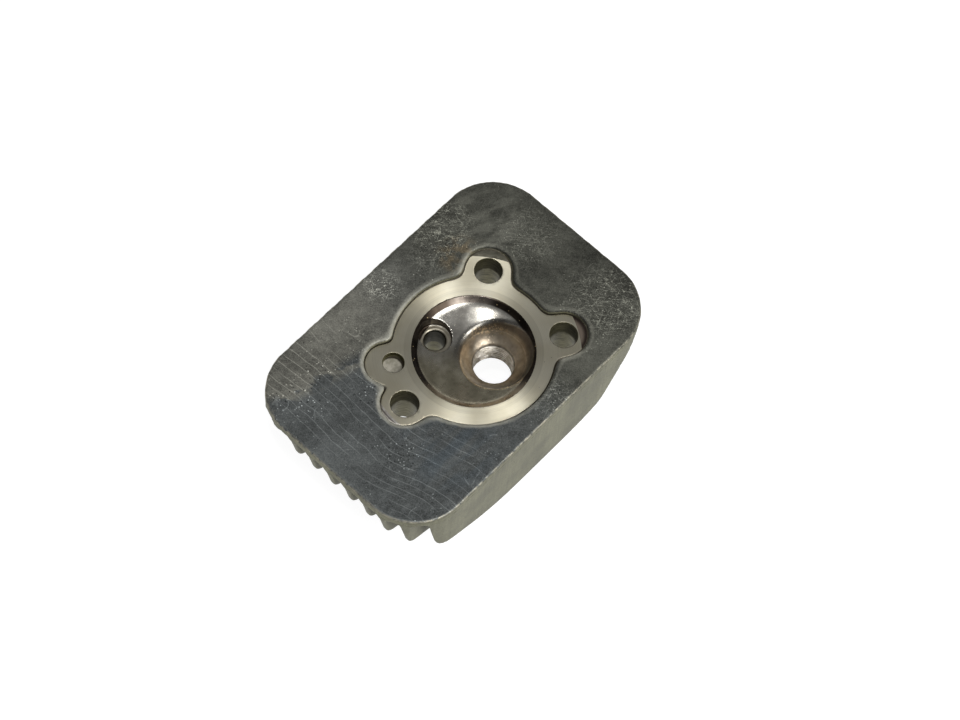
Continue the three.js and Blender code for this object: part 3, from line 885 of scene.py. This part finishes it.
def machined_material():
    m = Material("turned_face")
    outline = lobes(m)
    colour, roughness, height = turned_look(m, m.distance(BORE))
    past = m.math("MINIMUM", m.distance(TURNED_CENTRE) - TURNED_RADIUS,
                  m.distance(DOWEL_LOBE) - DOWEL_LOBE_RADIUS - DOWEL_MARGIN)
    raw = m.ramp(past, -0.05, 0.1)
    colour = m.mix(raw, colour, raw_look(m, past, outline))

    # painted light and shade: tilted rims of holes and the gutter round the face are drawn dark, paler where
    # they face one way, with a painted white highlight in the gutter at the left lobe
    tilted = (1 - raw) * (1 - m.ramp(m.up, 0.93, 0.99))
    gutter = m.math("MAXIMUM", tilted, m.ramp(outline, -GUTTER_WIDTH - 0.1, -GUTTER_WIDTH + 0.05))
    glint = raw * (1 - m.ramp(m.x, -12.0, -8.0)) * m.ramp(m.noise(4.0, 1, seed=58), 0.3, 0.45)
    painted_lit_facing = m.ramp(0 - m.facing[0], 0.0, 0.3)
    groove_painted_shading = m.mix(painted_lit_facing, tone(96, 90, 78), tone(156, 152, 138))
    colour = m.mix(gutter, colour, m.mix(glint, groove_painted_shading, tone(238, 234, 226)))

    wall = bored_walls(m)
    colour = m.mix(wall, colour, drilled_look(m))
    floor, floor_colour = dowel_floor(m)
    colour = m.mix(floor, colour, floor_colour)
    roughness = roughness + 0.04 * wall + 0.1 * floor + 0.16 * raw + 0.2 * gutter
    height = height + 0.6 * raw * m.noise(0.8, 3, seed=56) + 0.6 * floor * m.noise(1.6, 3, seed=60)
    return m.finish(colour, roughness, 1.0, height, 0.008,
                    anisotropy=0.85 * (1 - wall) * (1 - floor), tangent=outward(m))


# The chamber's light and shade are painted into its colour and change across it; the first constant below
# points in plan along that change.
PAINTED_LIGHT_AXIS = (0.716, 0.698)
BAND_REFLECTION_END = (BORE[0] + 13.6, BORE[1] + 13.2)
GOLD_REFLECTION_PLACE = (15, -1)
BROWNED = (((17, -9.6), 7.0, 1.0), ((9, -21), 7.0, 1.0), ((-9, -12), 8.0, 0.8))
BOWL_SHADES = (((11.5, -3.0), 8.0, -0.25), ((17, -14), 8.0, 0.25))
GLINTING = ((GOLD_REFLECTION_PLACE, 8.0, 0.5), ((5, 5), 7.0, 1.0), ((0, -2), 6.0, 0.3))


def burnt_colour(m, haze, bowl, toward_painted_light):
    """Polished metal, painted warmer and lighter on one side as light falls, and warmer in the bowl."""
    # painted light: one side of the chamber drawn lighter and warmer
    painted_warm_light = 1 - m.ramp(toward_painted_light + 3.0 * haze, -6.0, 8.0)
    colour = m.mix(haze, tone(148, 144, 136), tone(176, 173, 165))
    colour = m.mix(painted_warm_light, colour, m.mix(haze, tone(166, 159, 136), tone(200, 192, 168)))
    return m.mix(bowl, colour, m.mix(haze, tone(148, 136, 119), tone(184, 173, 154)))


def band_colour(m, haze, toward_painted_light):
    """The band inside the rim: painted shade, with a pale painted reflection at one end and a lighter tan
    painted highlight at the other.
    """
    # painted light and shade: the band's dark, pale and tan stretches stand for what it reflects
    bottom = m.ramp(0 - toward_painted_light, 9.0, 16.0)
    dark = m.mix(haze, tone(32, 28, 24), tone(52, 45, 38))
    dark = m.mix(0.7 * m.near(BAND_REFLECTION_END, 9.0), dark, tone(120, 112, 104))
    return m.mix(bottom, dark, m.mix(haze, tone(138, 124, 102), tone(176, 162, 140)))


def chamber_material():
    m = Material("burnt_chamber")
    across = m.distance(PLUG)
    valve = m.distance(DECOMPRESSOR)
    haze = m.ramp(m.noise(5.0, 4, seed=61), 0.3, 0.7)
    soot = m.ramp(m.noise(1.8, 5, seed=62), 0.42, 0.7)
    cuts = m.rings(m.distance(BORE), 0.7, seed=63)
    bowl_cuts = m.rings(across, 0.5, seed=64)
    toward_painted_light = PAINTED_LIGHT_AXIS[0] * (m.x - BORE[0]) + PAINTED_LIGHT_AXIS[1] * (m.y - BORE[1])
    bowl = 1 - m.ramp(across + 0.9 * haze, 11.2, 12.8)
    colour = burnt_colour(m, haze, bowl, toward_painted_light)
    colour = m.lighten(colour, 1.0 + 0.2 * (cuts - 0.5) - 0.25 * soot)
    colour = m.mix(0.3 * m.patches(BROWNED) * haze, colour, tone(142, 118, 90))

    # painted shadow: a dark crescent along the bowl's edge on one side
    lip = (1 - m.ramp(abs(across - 12.0), 0.4, 1.7)) * m.ramp(toward_painted_light, -4.0, 4.0)
    colour = m.lighten(colour, 1 - 0.5 * lip + m.patches(BOWL_SHADES))
    # painted reflection: gold-tan arcs drawn in the bowl near one place, also raised a little by the bump
    arc = 1 - m.ramp(abs(across - 10.6), 0.3, 1.2)
    painted_gold_reflection = arc * m.near(GOLD_REFLECTION_PLACE, 8.0) * m.ramp(m.noise(0.8, 4, seed=67), 0.47, 0.6)
    colour = m.mix(0.8 * painted_gold_reflection, colour, tone(226, 200, 160))
    # painted highlight: a thin lighter line along the spot face's edge
    crease_highlight = 1 - m.ramp(abs(across - SPOT_FACE_RADIUS), 0.06, 0.3)
    colour = m.lighten(colour, 1 + 0.25 * crease_highlight)
    # painted shade: the steep wall of the spot face is drawn dark, darker on one side
    steep = (1 - m.ramp(m.up, 0.3, 0.7)) * m.ramp(across, 7.2, 7.6)
    wall = m.mix(m.ramp(toward_painted_light, -6.0, 2.0), tone(66, 61, 53), tone(86, 76, 64))
    colour = m.mix(0.8 * steep, colour, wall)
    glints = m.specks(0.8, 0.18, 0.24, seed=65) * (0.04 + m.patches(GLINTING))
    colour = m.mix(glints, colour, tone(240, 226, 196))

    seat = (1 - m.ramp(valve, 5.0, 5.4)) * m.ramp(m.up, 0.4, 0.8)
    colour = m.mix(0.85 * seat, colour, m.mix(haze, tone(136, 130, 114), tone(164, 157, 140)))
    # painted shade: the decompressor bore is drawn at 0.42 of the drilled colour, dark as a deep hole
    cavity = inside(m, DECOMPRESSOR, VALVE_BORE_RADIUS, 0.1, 0.25)
    colour = m.mix(cavity, colour, m.lighten(drilled_look(m), 0.42))
    band = m.ramp(m.distance(BORE), 17.7, 18.1) * m.ramp(across, 12.0, 12.6)
    colour = m.mix(band, colour, band_colour(m, haze, toward_painted_light))
    crust = m.specks(0.9, 0.22, 0.12, seed=68)
    colour = m.mix(band * crust, colour, tone(206, 184, 140))
    thread = inside(m, PLUG, THREAD_ROOT_RADIUS, 0.0, 0.15)
    colour = m.mix(thread, colour, thread_look(m))

    roughness = 0.19 + 0.06 * haze + 0.08 * soot + 0.08 * thread + 0.06 * band
    roughness = roughness + 0.2 * seat + 0.2 * steep + 0.1 * bowl
    height = 0.2 * cuts + bowl * 0.12 * bowl_cuts + 0.2 * soot + 0.4 * glints + 0.3 * painted_gold_reflection
    return m.finish(colour, roughness, 1.0, height, 0.02)


# ---- pieces with their looks; every piece that isn't named here is plain cast metal ----

LOOKS = {
    "plate": ("plate_face", plate_material()),
    "gasket_face": ("machined_face", machined_material()),
    "chamber_bowl": ("chamber_surface", chamber_material()),
}
CAST = ("cast_body", cast_material())

pieces = build_shapes()
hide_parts("base_plate")
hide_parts("gasket_ring", "dowel_pad")
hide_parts("chamber_dome")
for name, piece in pieces.items():
    slot, material = LOOKS.get(name, CAST)
    piece.data.materials.append(material)


# ---- studio ----

def softbox(name, direction, size, watts):
    """A square light one metre from the head, facing it."""
    light = bpy.data.lights.new(name, "AREA")
    light.energy = watts
    light.size = size
    lamp = bpy.data.objects.new(name, light)
    lamp.location = Vector(direction).normalized()
    lamp.rotation_euler = Vector(direction).to_track_quat("Z", "Y").to_euler()
    bpy.context.scene.collection.objects.link(lamp)


OVERHEAD = (-0.19, -0.04, 0.986)
NEAR_SIDE = (0.0, -0.70, 0.73)
FLOOR_HALF_WIDTH = 3.0
FLOOR_GREY, FLOOR_GLOW = 0.2, 0.93
ROOM_TINT = (0.97, 0.98, 1.0, 1)
ROOM_DIM, ROOM_BRIGHT = 0.2, 0.43
HORIZON_TOP, HORIZON_FADE = math.sin(math.radians(7)), math.sin(math.radians(12))
CEILING_EDGE, CEILING_MIDDLE = math.cos(math.radians(34)), math.cos(math.radians(12))


def smooth_range(tree, from_low, from_high, to_low, to_high):
    node = tree.nodes.new("ShaderNodeMapRange")
    node.interpolation_type = "SMOOTHSTEP"
    ends = {"From Min": from_low, "From Max": from_high, "To Min": to_low, "To Max": to_high}
    for name, value in ends.items():
        node.inputs[name].default_value = value
    return node


def soft_ceiling(tree):
    """A dim room with a pale patch of ceiling overhead and a white band along the horizon."""
    around = tree.nodes.new("ShaderNodeTexCoord")
    facing = tree.nodes.new("ShaderNodeVectorMath")
    facing.operation = "DOT_PRODUCT"
    facing.inputs[1].default_value = Vector(OVERHEAD).normalized()
    patch = smooth_range(tree, CEILING_EDGE, CEILING_MIDDLE, ROOM_DIM, ROOM_BRIGHT)
    parts = tree.nodes.new("ShaderNodeSeparateXYZ")
    horizon = smooth_range(tree, HORIZON_TOP, HORIZON_FADE, 1.0, 0.0)
    brightest = tree.nodes.new("ShaderNodeMath")
    brightest.operation = "MAXIMUM"
    background = tree.nodes["Background"].inputs
    background["Color"].default_value = ROOM_TINT
    for start, end in ((around.outputs["Generated"], facing.inputs[0]),
                       (facing.outputs["Value"], patch.inputs["Value"]),
                       (around.outputs["Generated"], parts.inputs[0]),
                       (parts.outputs["Z"], horizon.inputs["Value"]),
                       (patch.outputs["Result"], brightest.inputs[0]),
                       (horizon.outputs["Result"], brightest.inputs[1]),
                       (brightest.outputs[0], background["Strength"])):
        tree.links.new(start, end)


def pale_floor():
    half = FLOOR_HALF_WIDTH
    mesh = bpy.data.meshes.new("floor")
    mesh.from_pydata([(-half, -half, 0), (half, -half, 0), (half, half, 0), (-half, half, 0)], [],
                     [(0, 1, 2, 3)])
    paper = bpy.data.materials.new("pale_floor")
    paper.use_nodes = True
    shader = paper.node_tree.nodes["Principled BSDF"].inputs
    shader["Base Color"].default_value = (FLOOR_GREY, FLOOR_GREY, FLOOR_GREY, 1)
    shader["Roughness"].default_value = 0.9
    shader["Emission Color"].default_value = (1, 1, 1, 1)
    shader["Emission Strength"].default_value = FLOOR_GLOW
    mesh.materials.append(paper)
    floor = bpy.data.objects.new("floor", mesh)
    bpy.context.scene.collection.objects.link(floor)


def studio():
    scene = bpy.context.scene
    scene.view_settings.view_transform = "Standard"
    scene.world = bpy.data.worlds.new("studio")
    scene.world.use_nodes = True
    soft_ceiling(scene.world.node_tree)
    pale_floor()
    softbox("overhead", OVERHEAD, size=0.075, watts=1.8)
    softbox("near_side", NEAR_SIDE, size=0.55, watts=10)


# The camera's lens, place in millimetres and axes, fitted to the photograph's viewing angle.
CAMERA_LENS = 123.53
CAMERA_PLACE = (-374.53, -278.68, 963.42)
CAMERA_RIGHT = (0.6750, -0.7354, 0.0599)
CAMERA_UP = (0.6427, 0.6259, 0.4417)
CAMERA_BACK = (-0.3623, -0.2597, 0.8951)


def place_camera():
    camera = bpy.data.cameras.new("camera")
    camera.lens = CAMERA_LENS
    camera.sensor_width = 36
    turn = Matrix((CAMERA_RIGHT, CAMERA_UP, CAMERA_BACK)).transposed().to_4x4()
    view = bpy.data.objects.new("camera", camera)
    view.matrix_world = Matrix.Translation(Vector(CAMERA_PLACE) * MM) @ turn
    bpy.context.scene.collection.objects.link(view)
    bpy.context.scene.camera = view


studio()
place_camera()
